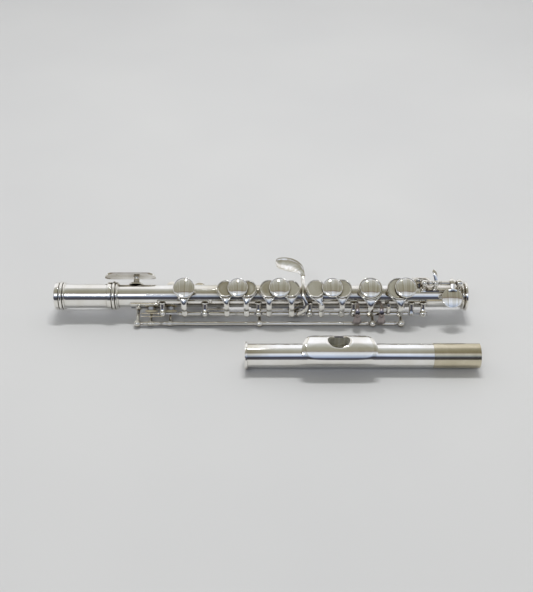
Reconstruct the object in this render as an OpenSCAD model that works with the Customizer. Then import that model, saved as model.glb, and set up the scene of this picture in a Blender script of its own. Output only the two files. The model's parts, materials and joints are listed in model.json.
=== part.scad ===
// Boehm piccolo taken apart: the body joint with its keywork lies behind, the head joint in front.
// Frame: origin at the centre of the receiver's mouth, +X along the bore to the foot, +Z up.
// The body joint lies rolled towards -Y, on the posts of its outer rod and of its thumb keys.
// Angles round the bore start at the key cups' own direction and grow towards the rods.

/* [Body tube] */
// Length of the body joint, from the receiver's mouth to the foot
body_len = 218.8; // [216:0.1:222]
// Outer radius of the body tube
tube_r = 6.05; // [5.95:0.05:6.15]
// Radius of the bore
bore_r = 5.5; // [5.4:0.05:5.6]
// Roll of the body joint as it lies, in degrees
roll = 23; // [20:1:26]

/* [Receiver] */
// Length of the receiver that takes the head joint
receiver_len = 34; // [32:0.5:36]
// Outer radius of the receiver's barrel
barrel_r = 6.6; // [6.6:0.05:6.9]
// Radius of the socket for the tenon
socket_r = 6.24; // [6.23:0.01:6.25]
// Depth of the socket for the tenon
socket_depth = 26; // [24:0.5:27]
// Radius of the receiver's end beads
bead_r = 7.85; // [7.5:0.05:8.0]

/* [Keywork] */
// Distance of the main hinge rod from the bore's axis
main_rod_dist = 10.4; // [10.2:0.1:10.8]
// Distance of the outer trill rod from the bore's axis
outer_rod_dist = 15.1; // [14.9:0.1:15.3]
// Outer radius of a key's hinge tube
hinge_r = 1.05; // [1:0.05:1.15]
// Radius of the steel hinge rods
rod_r = 0.6; // [0.55:0.01:0.6]
// Angle by which the open-standing keys stand open
key_lift = 10; // [8:1:10]
// Height of the tone hole rims above the bore's axis
seat = 7.3; // [7.25:0.05:7.4]
// Radius of a post's ball
ball_r = 1.85; // [1.7:0.05:2.0]

/* [Head joint] */
// Length of the head joint
head_len = 116.9; // [115:0.1:119]
// Outer radius of the head tube
head_r = 6; // [5.95:0.05:6.05]
// Outer radius of the tenon sleeve
tenon_r = 6.2; // [6.19:0.01:6.21]
// Length of the tenon
tenon_len = 23.2; // [22:0.1:24]
// Length of the lip plate
lip_len = 37.5; // [36:0.5:39]
// Distance from the crown's end to the embouchure hole's centre
hole_from_crown = 46.7; // [46:0.1:48]

/* [Hidden] */
$fn = 48;

// Point of the cross-section at a distance and an angle, as [y, z]
function polar(dist, angle) = [-dist * sin(angle), dist * cos(angle)];

gap = 0.05;
rod_gap = 0.03;
hinge_bore = rod_r + rod_gap;
main_rod = polar(main_rod_dist, 95);
outer_rod = polar(outer_rod_dist, 105);
d_sharp_rod_angle = -5;
d_sharp_rod = polar(11.5, d_sharp_rod_angle);
thumb_rod = polar(10.53, 185);

// Tone holes of the row as [x, rim radius]
rim_t = 0.5;
c_sharp_x = 69.1;
b_flat_x = 90.9;
a_x = 102.5;
g_upper_x = 113.5;
g_lower_x = 125.1;
f_sharp_x = 138.1;
f_x = 151.8;
e_x = 166.7;
d_x = 181.4;
row_holes = [[c_sharp_x, 3.3], [b_flat_x, 3.3], [a_x, 3.3], [g_upper_x, 3.5], [g_lower_x, 3.4],
    [f_sharp_x, 3.6], [f_x, 3.8], [e_x, 4.3], [d_x, 4.3]];

// The other tone holes: x, angle, rim radius
trill_angle = 121;
trill_1_x = 50.9;
trill_2_x = 61.2;
d_sharp_x = 193.5;
d_sharp_angle = -51;
d_sharp_rim_r = 3.4;
g_sharp_x = 126.8;
g_sharp_angle = 180;
thumb_x = 76;
thumb_angle = 230;
trill_rim_r = 2.2;
side_holes = [[trill_1_x, trill_angle, trill_rim_r], [trill_2_x, trill_angle, trill_rim_r],
    [d_sharp_x, d_sharp_angle, d_sharp_rim_r], [g_sharp_x, g_sharp_angle, 3.2],
    [thumb_x, thumb_angle, 3.2]];

// Cups: height of the pad's seat gap, the recess floor and the rim above the tone hole rim
pad_t = 1.3;
cup_floor = 1.85;
cup_top = 2.1;
plate_lift = 2.75;
dome_h = 0.75;

// Arms
arm_w = 2;
arm_t = 1.1;
arm_knee = 2.4;
fork_t = 0.3;
flare_r = 2.2;

// Head joint's place beside the body
head_at = [101.3, -44.6, -4.3];
crown_t = 1.7;
crown_r = 7;

module rolled() rotate([roll, 0, 0]) children();
module radial(x, angle) translate([x, 0, 0]) rotate([angle, 0, 0]) children();
module about(p, turn) translate([0, p[0], p[1]]) rotate([turn, 0, 0])
    translate([0, -p[0], -p[1]]) children();
module along(x0, x1, p, r) translate([x0, p[0], p[1]]) rotate([0, 90, 0]) cylinder(h = x1 - x0, r = r);
module side_view(x, w) translate([x, 0, 0]) rotate([90, 0, 90]) linear_extrude(w, center = true) children();
module bar(from, to, r) {
    d = to - from;
    translate(from) rotate([0, acos(d[2] / norm(d)), atan2(d[1], d[0])]) cylinder(h = norm(d), r = r);
}
module ring_sector(x, p, r, t, w, from, to) translate([x, p[0], p[1]]) rotate([90, 0, 90])
    rotate([0, 0, from]) rotate_extrude(angle = to - from) translate([r - t / 2, -w / 2]) square([t, w]);

// ---- Body joint: tube, receiver, rims, posts ----

foot_ring_len = 3.4;
foot_ring_r = 6.5;
foot_rim_w = 1.4;

module body_tube() color("silver") rolled() difference() {
    along(socket_depth, body_len - foot_ring_len, [0, 0], tube_r);
    along(socket_depth - 1, body_len, [0, 0], bore_r);
    for (h = row_holes) radial(h[0], 0) cylinder(h = 10, r = h[1] - rim_t);
    for (h = side_holes) radial(h[0], h[1]) cylinder(h = 10, r = h[2] - rim_t);
}

// Flat ring, bead and finer bead at one end of the receiver
ring_r = 7.35;
ring_w = 2.7;
bead_wire_r = 0.85;
fine_bead_wire_r = 0.55;
ring_foot_r = 6.95;
ring_group_len = 5.9;
module bead(x, outer_r, wire_r) translate([x, 0, 0]) rotate([0, 90, 0])
    rotate_extrude() translate([outer_r - wire_r, 0]) circle(wire_r);
module end_beads(x) {
    along(x, x + ring_w, [0, 0], ring_r);
    bead(x + ring_w + 0.7, bead_r, bead_wire_r);
    bead(x + ring_w + 2.2, ring_r + 0.1, fine_bead_wire_r);
    along(x + ring_w - 0.1, x + ring_group_len, [0, 0], ring_foot_r);
}

module receiver() color("silver") rolled() difference() {
    union() {
        along(0, receiver_len, [0, 0], barrel_r);
        end_beads(0);
        end_beads(receiver_len - ring_group_len - 0.2);
    }
    along(-1, socket_depth, [0, 0], socket_r);
    along(socket_depth - 0.5, receiver_len + 1, [0, 0], tube_r);
}

module foot_ring() color("silver") rolled() difference() {
    union() {
        along(body_len - foot_ring_len, body_len, [0, 0], foot_ring_r);
        along(body_len - foot_rim_w, body_len, [0, 0], bead_r);
        bead(body_len - 2.6, foot_ring_r + 0.6, 0.6);
    }
    along(body_len - 4, body_len + 1, [0, 0], bore_r);
}

module rim(x, angle, r) radial(x, angle) difference() {
    cylinder(h = seat, r = r);
    translate([0, 0, -1]) cylinder(h = seat + 2, r = r - rim_t);
    translate([-10, 0, 0]) rotate([0, 90, 0]) cylinder(h = 20, r = tube_r);
}
module tone_hole_rims() color("silver") rolled() {
    for (h = row_holes) rim(h[0], 0, h[1]);
    for (h = side_holes) rim(h[0], h[1], h[2]);
}

// Dished oval rest for the left hand, on a short post
rest_x = 39.2;
rest_angle = -76;
rest_end_r = 4.6;
rest_half_straight = 9;
rest_dish_r = 20;
rest_t = 0.9;
rest_top = 10.6;
rest_post_x = 42.6;
rest_post_r = 1.5;
rest_foot_h = 7.3;
module rest_outline() {
    for (s = [-1, 1]) translate([s * rest_half_straight, 0]) circle(rest_end_r);
    square([2 * rest_half_straight, 2 * rest_end_r], center = true);
}
module left_hand_rest() color("silver") rolled() radial(0, rest_angle) {
    difference() {
        intersection() {
            translate([rest_x, 0, 0]) linear_extrude(rest_dish_r) rest_outline();
            along(20, 60, [0, rest_top + rest_dish_r], rest_dish_r);
        }
        along(20, 60, [0, rest_top + rest_dish_r], rest_dish_r - rest_t);
    }
    difference() {
        union() {
            translate([rest_post_x, 0, 5]) cylinder(h = rest_top + 0.7 - 5, r = rest_post_r);
            translate([rest_post_x, 0, 5]) cylinder(h = rest_foot_h - 5, r1 = 3.6, r2 = 2.6);
        }
        along(30, 60, [0, 0], tube_r);
    }
}

// Raised strips that carry the posts
rib_t = 0.75;
module rib(x0, x1, a0, a1)
    ring_sector((x0 + x1) / 2, [0, 0], tube_r + rib_t / 2, rib_t, x1 - x0, 90 + a0, 90 + a1);
module ribs() color("silver") rolled() difference() {
    union() {
        rib(40.1, 55.4, 69, 82);
        rib(54.6, 82, 52, 69);
        rib(83.3, 196.9, 52, 69);
        rib(40.1, 56.3, 126, 140);
        rib(104, 186, 126, 140);
    }
    radial(trill_1_x, trill_angle) cylinder(h = seat, r = trill_rim_r + gap);
}

// Turned post: round foot, waisted column and drilled ball
module post(x, foot_angle, rod, ball, hole) difference() {
    foot = polar(tube_r + rib_t - 0.1, foot_angle);
    base = [x, foot[0], foot[1]];
    top = [x, rod[0], rod[1]];
    union() {
        bar(base, top, 0.85);
        bar(base, base + (top - base) / norm(top - base) * 1.1, 1.5);
        translate(top) sphere(ball);
    }
    along(x - 5, x + 5, [0, 0], tube_r + rib_t);
    along(x - 5, x + 5, rod, hole);
}
main_post_x = [57.2, 79.6, 107.9, 134.9, 158.1, 188.6, 194.8];
module main_posts() color("silver") rolled() difference() {
    for (x = main_post_x) post(x, 64, main_rod, x == 188.6 ? 1.4 : ball_r, rod_r + 0.01);
    spring_lines();
}

outer_post_x = [43.8, 108.4, 168.3, 183.3];
module outer_posts() color("silver") rolled()
    for (x = outer_post_x)
        post(x, 131, outer_rod, 2.0, x == 108.4 ? hinge_r + rod_gap : hinge_bore);

d_sharp_post_x = [195.1, 201.1, 213.3];
module d_sharp_posts() color("silver") rolled() difference() {
    union() {
        for (x = d_sharp_post_x) translate([x, d_sharp_rod[0], d_sharp_rod[1]])
            sphere(x == d_sharp_post_x[2] ? 2.1 : 1.7);
        for (x = d_sharp_post_x) radial(x, d_sharp_rod_angle) translate([0, 0, tube_r - 0.2])
            cylinder(h = 5.5, r = 0.8);
        radial(204.2, d_sharp_rod_angle) translate([-10.6, -1.8, tube_r - 1]) cube([21.2, 3.6, 1.7]);
    }
    along(190, 220, [0, 0], tube_r);
    along(190, 220, d_sharp_rod, hinge_bore);
    radial(d_sharp_x, d_sharp_angle) cylinder(h = seat, r = d_sharp_rim_r + gap);
}

thumb_post_x = [51.3, 86.3];
thumb_ball_r = 2;
module thumb_posts() color("silver") rolled() difference() {
    union() {
        for (x = thumb_post_x) {
            translate([x, thumb_rod[0], thumb_rod[1]]) sphere(thumb_ball_r);
            radial(x, 185) translate([0, 0, tube_r - 0.3]) cylinder(h = 4.6, r = 0.95);
            radial(x, 185) translate([0, 0, tube_r - 0.6]) cylinder(h = 1.2, r = 2);
        }
    }
    along(40, 95, [0, 0], tube_r);
    along(40, 95, thumb_rod, rod_r + 0.01);
    spring_lines();
}

module main_hinge_rods() color("lightsteelblue") rolled() along(55.45, 196.65, main_rod, rod_r);
module thumb_hinge_rod() color("lightsteelblue") rolled() along(49.3, 88.3, thumb_rod, rod_r);

// Slotted heads of the screws that hold the rods in the end posts
module screw_head(x, side, rod) difference() {
    along(x, x + 0.6, rod, 0.95);
    translate([x + 0.3 + side * 0.3, rod[0], rod[1]]) cube([0.5, 3, 0.3], center = true);
}
module pivot_screws() color("lightsteelblue") rolled() {
    screw_head(main_post_x[0] - ball_r - 0.5, -1, main_rod);
    screw_head(main_post_x[6] + ball_r, 1, main_rod);
    screw_head(thumb_post_x[1] + thumb_ball_r, 1, thumb_rod);
    screw_head(thumb_post_x[0] - thumb_ball_r - 0.6, -1, thumb_rod);
}

// Thin needle springs that run beside the rods
spring_r = 0.2;
module spring_lines() {
    along(46, 57.2, polar(11.0, 88), spring_r);
    along(46, 57.2, polar(12.3, 92), spring_r);
    for (x = main_post_x) if (x > 60 && x < 188) along(x, x + 13, polar(8.7, 84), spring_r);
    along(51.3, 64, polar(8.4, 190), spring_r);
}
module needle_springs() color("goldenrod") rolled() spring_lines();

// Felts under the arms, one to a key
felt_x = [69.1, 101.7, 113.6, 151.8, 166.7];
felt_angle = 46;
felt_w = 1.8;
module bumper_felts() color("peru") rolled() difference() {
    for (x = felt_x) radial(x, felt_angle) translate([-felt_w / 2, -1, tube_r - 0.5]) cube([felt_w, 2, 1.3]);
    along(40, 200, [0, 0], tube_r);
    for (h = row_holes) radial(h[0], 0) cylinder(h = seat, r = h[1] + gap);
}

// ---- Key parts ----

// Padded cup over a tone hole, with a thin raised rim round its top
module cup(x, r) translate([x, 0, seat]) rotate_extrude() polygon([
    [0, pad_t + 0.1], [r - 0.5, pad_t + 0.1], [r - 0.5, 0.5], [r - 0.1, 0.5], [r, 0.7], [r, cup_top - 0.2],
    [r - 0.15, cup_top], [r - 0.4, cup_top], [r - 0.6, cup_floor], [0, cup_floor]]);

// Skin-covered felt pad, a little bulged, with its sunk middle washer
module pad(x, r) translate([x, 0, seat + gap]) difference() {
    cylinder(h = pad_t, r = r - 0.55);
    translate([0, 0, -1]) cylinder(h = 1.15, r = 1.1);
}

// Domed finger plate with a rolled edge, on a stem where it stands off the cup
module plate(x, r, z, stem_x, stem_r) {
    dome_r = (r * r + dome_h * dome_h) / (2 * dome_h);
    intersection() {
        translate([x, 0, z]) cylinder(h = 0.65 + dome_h, r = r);
        translate([x, 0, z + 0.6 + dome_h - dome_r]) sphere(dome_r, $fn = 96);
    }
    if (stem_r > 0) translate([stem_x, 0, seat + cup_floor]) cylinder(h = z - seat - cup_floor, r = stem_r);
}

// Outline of an arm from above: a stem that forks to hold the cup
module arm_outline(r, dx) {
    half = arm_w / 2;
    difference() {
        union() {
            intersection() {
                translate([dx, 0]) circle(r + fork_t);
                translate([dx - r - 2, -r - 2]) square([2 * r + 4, 0.7 * r + 2]);
            }
            translate([-half, -13]) square([arm_w, 13.4 - r]);
            polygon([[-half, -r - 2.4], [half, -r - 2.4], [dx + 0.7 * r, -0.8 * r], [dx - 0.7 * r, -0.8 * r]]);
        }
        translate([dx, 0]) circle(r - 0.4);
        for (s = [-1, 1]) translate([s * (half + flare_r), -r - 2]) circle(flare_r);
    }
}

// Side view of an arm: up from the hinge, round a bend and flat along the cup
module arm_side(r, top) {
    bend = top - arm_knee;
    turn_y = -0.75 * r;
    intersection() {
        translate([turn_y, arm_knee]) difference() {
            circle(bend + arm_t / 2);
            circle(bend - arm_t / 2);
        }
        translate([turn_y - 12, arm_knee]) square([12, 12]);
    }
    translate([turn_y - 0.01, top - arm_t / 2]) square([-turn_y, arm_t]);
    polygon([[turn_y - bend - arm_t / 2, arm_knee + 0.01], [turn_y - bend + arm_t / 2, arm_knee + 0.01],
        [main_rod[0] + 0.7, main_rod[1] - 1.3], [main_rod[0] - 0.5, main_rod[1] - 1.9]]);
}

module arm(cup_x, r, arm_x) intersection() {
    translate([arm_x, 0, -5]) linear_extrude(20) arm_outline(r, cup_x - arm_x);
    side_view(arm_x, 16) arm_side(r, seat + 1.2);
}

// A key of the row; cups are [x, radius, arm's x]
module row_key(x0, x1, cups) about(main_rod, key_lift) difference() {
    union() {
        along(x0, x1, main_rod, hinge_r);
        for (c = cups) {
            cup(c[0], c[1]);
            arm(c[0], c[1], c[2]);
            along(c[2] - 1.4, c[2] + 1.4, main_rod, hinge_r + 0.35);
        }
    }
    along(x0 - 1, x1 + 1, main_rod, hinge_bore);
}
module row_pad(x, r) color("bisque") rolled() about(main_rod, key_lift) pad(x, r);
module row_plate(x, r, stem_x) color("silver") rolled() about(main_rod, key_lift)
    plate(x, r, seat + plate_lift, stem_x, 1.4);

// ---- Keys of the row ----

module c_sharp_key() color("silver") rolled() row_key(65.3, 77.5, [[c_sharp_x, 4.9, c_sharp_x]]);
module c_sharp_pad() row_pad(c_sharp_x, 4.9);
module c_sharp_plate() color("silver") rolled() about(main_rod, key_lift)
    plate(c_sharp_x, 5.75, seat + cup_top + 0.1, c_sharp_x, 2.5);

module b_flat_key() color("silver") rolled() row_key(81.7, 95.9, [[b_flat_x, 4.65, 91.4]]);
module b_flat_pad() row_pad(b_flat_x, 4.65);

module a_key() color("silver") rolled() row_key(96.2, 105.8, [[a_x, 4.65, 101.7]]);
module a_pad() row_pad(a_x, 4.65);
module a_plate() row_plate(97.2, 5.25, 100);

module g_key() color("silver") rolled() row_key(110, 127.6, [[g_upper_x, 4.9, 113.6], [g_lower_x, 4.7, 125.4]]);
module g_pads() {
    row_pad(g_upper_x, 4.9);
    row_pad(g_lower_x, 4.7);
}
module g_plate() color("silver") rolled() about(main_rod, key_lift) {
    plate(119.1, 5.5, seat + plate_lift, 116.3, 1.3);
    translate([122.3, 0, seat + cup_floor]) cylinder(h = plate_lift - cup_floor, r = 1.1);
}

module f_sharp_key() color("silver") rolled() row_key(137, 145.4, [[f_sharp_x, 4.95, 141.2]]);
module f_sharp_pad() row_pad(f_sharp_x, 4.95);

module f_key() color("silver") rolled() row_key(145.7, 155.9, [[f_x, 5.2, f_x]]);
module f_pad() row_pad(f_x, 5.2);
module f_plate() row_plate(146.7, 5.4, 149.2);

module e_key() color("silver") rolled() row_key(160.3, 172.6, [[e_x, 6.2, e_x]]);
module e_pad() row_pad(e_x, 6.2);
module e_plate() color("silver") rolled() about(main_rod, key_lift)
    plate(e_x, 5.5, seat + cup_floor, e_x, 0);

// The lowest key of the row also has a flat adjusting arm
module d_key() color("silver") rolled() {
    row_key(172.9, 186.8, [[d_x, 6.0, 182.6]]);
    about(main_rod, key_lift) difference() {
        side_view(176.3, 2.2) polygon([[-11.1, -0.9], [-9.7, -0.9], [-9, 2], [-6.9, 4.6], [-7.5, 5.4], [-9.9, 2.6]]);
        along(170, 180, main_rod, hinge_bore);
    }
}
module d_pad() row_pad(d_x, 6.0);
module d_plate() row_plate(185.1, 5.65, 183.6);

// ---- G sharp key: spoon over the top, cup below the tube ----

g_lever_x = 131.4;
g_lever_w = 1.3;
module g_sharp_lever_side() {
    intersection() {
        translate([-4.3, 3.6]) difference() {
            circle(6.55);
            circle(5.45);
        }
        translate([-16.3, 3.6]) square([12, 12]);
    }
    polygon([[-4.31, 9.05], [8.2, 10.5], [10.4, 11.0], [10.4, 12.0], [8, 11.6], [-4.31, 10.15]]);
    polygon([[-10.85, 3.61], [-9.75, 3.61], [-9.7, -0.9], [-11, -0.9]]);
}
module g_sharp_under_side() {
    intersection() {
        translate([-3.9, -2.9]) difference() {
            circle(6.5);
            circle(5.4);
        }
        translate([-15.9, -14.9]) square([12, 12]);
    }
    translate([-3.91, -9.4]) square([3, 1.1]);
    polygon([[-10.4, -2.92], [-9.3, -2.92], [-9.6, -0.9], [-11.1, -0.9]]);
}
module g_sharp_key() color("silver") rolled() difference() {
    union() {
        along(128, 132.7, main_rod, hinge_r);
        side_view(g_lever_x, g_lever_w) g_sharp_lever_side();
        side_view(129.1, 1.8) g_sharp_under_side();
        rotate([180, 0, 0]) cup(g_sharp_x, 4.5);
    }
    along(120, 140, main_rod, hinge_bore);
    rotate([180, 0, 0]) translate([g_sharp_x, 0, 0]) cylinder(h = seat + pad_t + 0.1, r = 4);
}
module g_sharp_pad() color("bisque") rolled() rotate([180, 0, 0]) pad(g_sharp_x, 4.5);

// Oval hollow spoon for the little finger
module spoon_outline() scale([1, 0.6]) circle(7.4);
module g_sharp_spoon() color("silver") rolled()
    translate([124.6, 12.4, 11.9]) rotate([-24, 0, 0]) rotate([0, 0, -14]) difference() {
        intersection() {
            translate([0, 0, -3]) linear_extrude(8) spoon_outline();
            translate([0, 0, 13]) sphere(14, $fn = 96);
        }
        translate([0, 0, 13]) sphere(13.1, $fn = 96);
    }

// ---- Trill keys on the outer rod ----

touch_at = [-8.98, -0.02];
touch_r = 6.83;

// Small domed cup with its stem to the outer rod
module trill_cup(x) {
    radial(x, trill_angle) translate([0, 0, seat]) {
        rotate_extrude() polygon([[0, 1.1], [2.9, 1.1], [2.9, 0.5], [3.4, 0.5], [3.4, 1.2], [0, 1.9]]);
    }
    difference() {
        bar([x, outer_rod[0], outer_rod[1]], concat([x], polar(seat + 1.3, trill_angle)), 0.7);
        radial(x, trill_angle) cylinder(h = seat + 1.1, r = 5);
    }
}
module trill_pad(x) color("bisque") rolled() radial(x, trill_angle) translate([0, 0, seat + gap])
    cylinder(h = 1, r = 2.85);

// Teardrop finger touch that arches over the main rod
module trill_touch(x) intersection() {
    ring_sector(x, touch_at, touch_r, 1, 5, 86.8, 214.7);
    radial(x, 31) translate([0, 0, -12]) linear_extrude(40) {
        translate([0, -11.6]) circle(2.35);
        polygon([[-2.3, -11.2], [-0.8, -3.4], [0.8, -3.4], [2.3, -11.2]]);
        polygon([[-2.25, -12.2], [2.25, -12.2], [1.2, -14.6], [0, -15.6], [-1.2, -14.6]]);
    }
}

module d_trill_key() color("silver") rolled() {
    along(42.4, 184.9, outer_rod, rod_r);
    along(169.8 + 1.2, 180.6, outer_rod, hinge_r);
    along(46.2, 56.4, outer_rod, hinge_r);
    trill_cup(trill_1_x);
    difference() {
        trill_touch(172.4);
        along(160, 180, outer_rod, hinge_r - 0.2);
    }
}
module d_trill_pad() trill_pad(trill_1_x);

module d_sharp_trill_key() color("silver") rolled() difference() {
    union() {
        along(56.8, 165.9, outer_rod, hinge_r);
        trill_cup(trill_2_x);
        trill_touch(159.8);
    }
    along(50, 170, outer_rod, hinge_bore);
}
module d_sharp_trill_pad() trill_pad(trill_2_x);

// ---- D sharp key at the foot ----

module d_sharp_key() color("silver") rolled() {
    along(193.6, 214.6, d_sharp_rod, rod_r);
    along(197.1, 199.2, d_sharp_rod, hinge_r + 0.35);
    along(203.1, 210.9, d_sharp_rod, hinge_r);
    radial(0, d_sharp_angle) cup(d_sharp_x, 4.3);
    difference() {
        bar([198.1, d_sharp_rod[0], d_sharp_rod[1]], concat([d_sharp_x + 1.5], polar(seat + 2.2, -50)), 0.8);
        radial(d_sharp_x, d_sharp_angle) cylinder(h = seat + pad_t + 0.2, r = 4.2);
    }
    bar([198.6, d_sharp_rod[0], d_sharp_rod[1]], [200.2, 6.6, 14.2], 0.55);
    translate([200.2, 6.6, 14.2]) rotate([-58, 0, 0]) translate([0, 0, -2.2]) cylinder(h = 4.6, r = 0.95);
    touch_arm();
}
touch_x = 210.1;
touch_angle = 37;
touch_tilt = -15;
touch_low = 11.3;
touch_arm_x = 209.6;
d_sharp_touch_r = 5.4;
module touch_place() radial(touch_x, touch_angle)
    translate([0, 0, touch_low]) rotate([touch_tilt, 0, 0]) children();
module touch_arm() difference() {
    intersection() {
        ring_sector(touch_arm_x, [0, 0], 11.5, 1, 6, 83, 112);
        radial(touch_arm_x, 12) translate([-0.95, -10, 0]) cube([1.9, 20, 20]);
    }
    touch_place() cylinder(h = 3, r = d_sharp_touch_r);
}
module d_sharp_pad() color("bisque") rolled() radial(0, d_sharp_angle) pad(d_sharp_x, 4.3);
module d_sharp_touch() color("silver") rolled() touch_place() intersection() {
    cylinder(h = 2, r = d_sharp_touch_r);
    translate([0, 0, 1.3 - 20]) sphere(20, $fn = 96);
}

// ---- Thumb keys below the tube ----

module thumb_b_key() color("silver") rolled() about(thumb_rod, -key_lift) difference() {
    union() {
        along(66, 84, thumb_rod, hinge_r);
        radial(0, thumb_angle) cup(thumb_x, 4.5);
        ring_sector(thumb_x, [0, 0], seat + 2.5, 1.2, 1.8, 276, 312);
    }
    along(60, 90, thumb_rod, hinge_bore);
    radial(thumb_x, thumb_angle) cylinder(h = seat + pad_t + 0.1, r = 4);
}
module thumb_b_pad() color("bisque") rolled() about(thumb_rod, -key_lift)
    radial(0, thumb_angle) pad(thumb_x, 4.5);
module thumb_b_flat_lever() color("silver") rolled() difference() {
    union() {
        along(53.6, 65.7, thumb_rod, hinge_r);
        bar([61, thumb_rod[0], thumb_rod[1]], concat([61], polar(10.8, 212)), 0.8);
        radial(61, 224) translate([0, 0, 9.9]) linear_extrude(1) {
            square([6.5, 5], center = true);
            for (s = [-1, 1]) translate([0, s * 2.5]) circle(3.25);
        }
    }
    along(50, 70, thumb_rod, hinge_bore);
}

// ---- Head joint ----

module head_place() translate(head_at) children();
module embouchure(h, grow) translate([hole_from_crown, 0, 0]) linear_extrude(h)
    scale([1, 0.86]) circle(5.55 + grow);

module head_tube() color("silver") head_place() difference() {
    along(crown_t + gap, head_len - tenon_len, [0, 0], head_r);
    along(0, head_len, [0, 0], bore_r);
    embouchure(20, 0);
}

// Sleeve that slides into the receiver; its shoulder end is soldered inside the head tube
module tenon() color("tan") head_place() difference() {
    union() {
        along(head_len - tenon_len + 0.02, head_len, [0, 0], tenon_r);
        along(head_len - tenon_len - 8, head_len - tenon_len + 1, [0, 0], bore_r - 0.01);
    }
    along(head_len - tenon_len - 9, head_len + 1, [0, 0], bore_r - 0.45);
}

lip_r = 10;
lip_t = 0.9;
lip_from = 28.1;
module lip_plate() color("silver") head_place() difference() {
    intersection() {
        along(lip_from, lip_from + lip_len, [0, 0], lip_r);
        translate([lip_from + lip_len / 2, 0, 0]) linear_extrude(12)
            scale([1, 0.96]) intersection() {
                circle(lip_len / 2, $fn = 96);
                square([lip_len, 20.4], center = true);
            }
    }
    along(lip_from - 1, lip_from + lip_len + 1, [0, 0], lip_r - lip_t);
    embouchure(20, 0);
}
module lip_riser() color("silver") head_place() difference() {
    embouchure(lip_r - 1.0, 0.8);
    embouchure(20, 0);
    along(20, 80, [0, 0], head_r);
    difference() {
        along(20, 80, [0, 0], lip_r + 5);
        along(20, 80, [0, 0], lip_r - lip_t);
    }
}
module crown() color("silver") head_place() difference() {
    union() {
        along(0, crown_t, [0, 0], crown_r);
        along(crown_t - 0.5, crown_t + 6, [0, 0], bore_r - 0.06);
    }
    along(crown_t, crown_t + 7, [0, 0], 1.55);
}
cork_to = hole_from_crown - 9;
cork_len = 8;
module stopper_cork() color("burlywood") head_place() difference() {
    along(cork_to - cork_len, cork_to, [0, 0], bore_r - 0.03);
    along(cork_to - cork_len - 1, cork_to + 1, [0, 0], 1.52);
}
module stopper_washers() color("silver") head_place() {
    difference() {
        along(cork_to - cork_len - 1, cork_to - cork_len, [0, 0], 5.2);
        along(cork_to - cork_len - 2, cork_to, [0, 0], 1.52);
    }
    along(cork_to, cork_to + 1, [0, 0], 5.2);
}
module stopper_rod() color("lightsteelblue") head_place() along(crown_t + 1.5, cork_to, [0, 0], 1.5);

body_tube();
receiver();
foot_ring();
tone_hole_rims();
left_hand_rest();
ribs();
main_posts();
outer_posts();
d_sharp_posts();
thumb_posts();
main_hinge_rods();
thumb_hinge_rod();
pivot_screws();
needle_springs();
bumper_felts();
c_sharp_key();
c_sharp_pad();
c_sharp_plate();
b_flat_key();
b_flat_pad();
a_key();
a_pad();
a_plate();
g_key();
g_pads();
g_plate();
g_sharp_key();
g_sharp_pad();
g_sharp_spoon();
f_sharp_key();
f_sharp_pad();
f_key();
f_pad();
f_plate();
e_key();
e_pad();
e_plate();
d_key();
d_pad();
d_plate();
d_trill_key();
d_trill_pad();
d_sharp_trill_key();
d_sharp_trill_pad();
d_sharp_key();
d_sharp_pad();
d_sharp_touch();
thumb_b_key();
thumb_b_pad();
thumb_b_flat_lever();
head_tube();
tenon();
lip_plate();
lip_riser();
crown();
stopper_cork();
stopper_washers();
stopper_rod();
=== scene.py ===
"""Silver-plated piccolo, taken apart: the body joint with its keywork behind, the head joint in front."""

import json
import math
import bmesh
import bpy
from mathutils import Matrix, Vector


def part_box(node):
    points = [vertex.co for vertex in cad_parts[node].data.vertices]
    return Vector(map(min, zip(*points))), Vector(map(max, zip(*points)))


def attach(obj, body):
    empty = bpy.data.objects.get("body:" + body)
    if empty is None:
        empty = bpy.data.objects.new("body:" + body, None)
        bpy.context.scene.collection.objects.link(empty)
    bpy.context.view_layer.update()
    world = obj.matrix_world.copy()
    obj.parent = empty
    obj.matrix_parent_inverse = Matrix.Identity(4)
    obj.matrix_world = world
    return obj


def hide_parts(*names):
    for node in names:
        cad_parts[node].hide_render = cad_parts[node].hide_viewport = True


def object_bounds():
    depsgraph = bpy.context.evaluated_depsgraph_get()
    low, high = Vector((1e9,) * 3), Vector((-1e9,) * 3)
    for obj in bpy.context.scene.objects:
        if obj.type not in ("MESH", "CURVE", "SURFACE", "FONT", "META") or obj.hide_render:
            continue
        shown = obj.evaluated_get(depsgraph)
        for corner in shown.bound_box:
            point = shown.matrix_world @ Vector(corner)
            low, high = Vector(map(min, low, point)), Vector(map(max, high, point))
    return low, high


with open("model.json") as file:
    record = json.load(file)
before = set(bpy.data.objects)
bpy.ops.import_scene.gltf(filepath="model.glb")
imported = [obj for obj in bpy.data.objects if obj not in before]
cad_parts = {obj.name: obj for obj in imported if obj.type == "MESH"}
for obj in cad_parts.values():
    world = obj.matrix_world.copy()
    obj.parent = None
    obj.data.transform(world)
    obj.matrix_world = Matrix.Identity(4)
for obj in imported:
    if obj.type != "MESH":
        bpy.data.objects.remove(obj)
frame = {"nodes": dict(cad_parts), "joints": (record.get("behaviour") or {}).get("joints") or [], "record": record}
cad_low, cad_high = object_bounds()
MM = 0.001
JOINTS = {j["name"]: j for j in frame["joints"]}

# How the body joint lies, and how far its open keys stand open, in degrees
ROLL = 23
KEY_LIFT = 10
# Keywork sizes, in millimetres
HINGE_R = 1.05
SEAT = 7.3
PAD_T = 1.3
CUP_TOP = 2.1
CUP_FLOOR = 1.85


# ---- Small mesh tools ----


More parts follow.
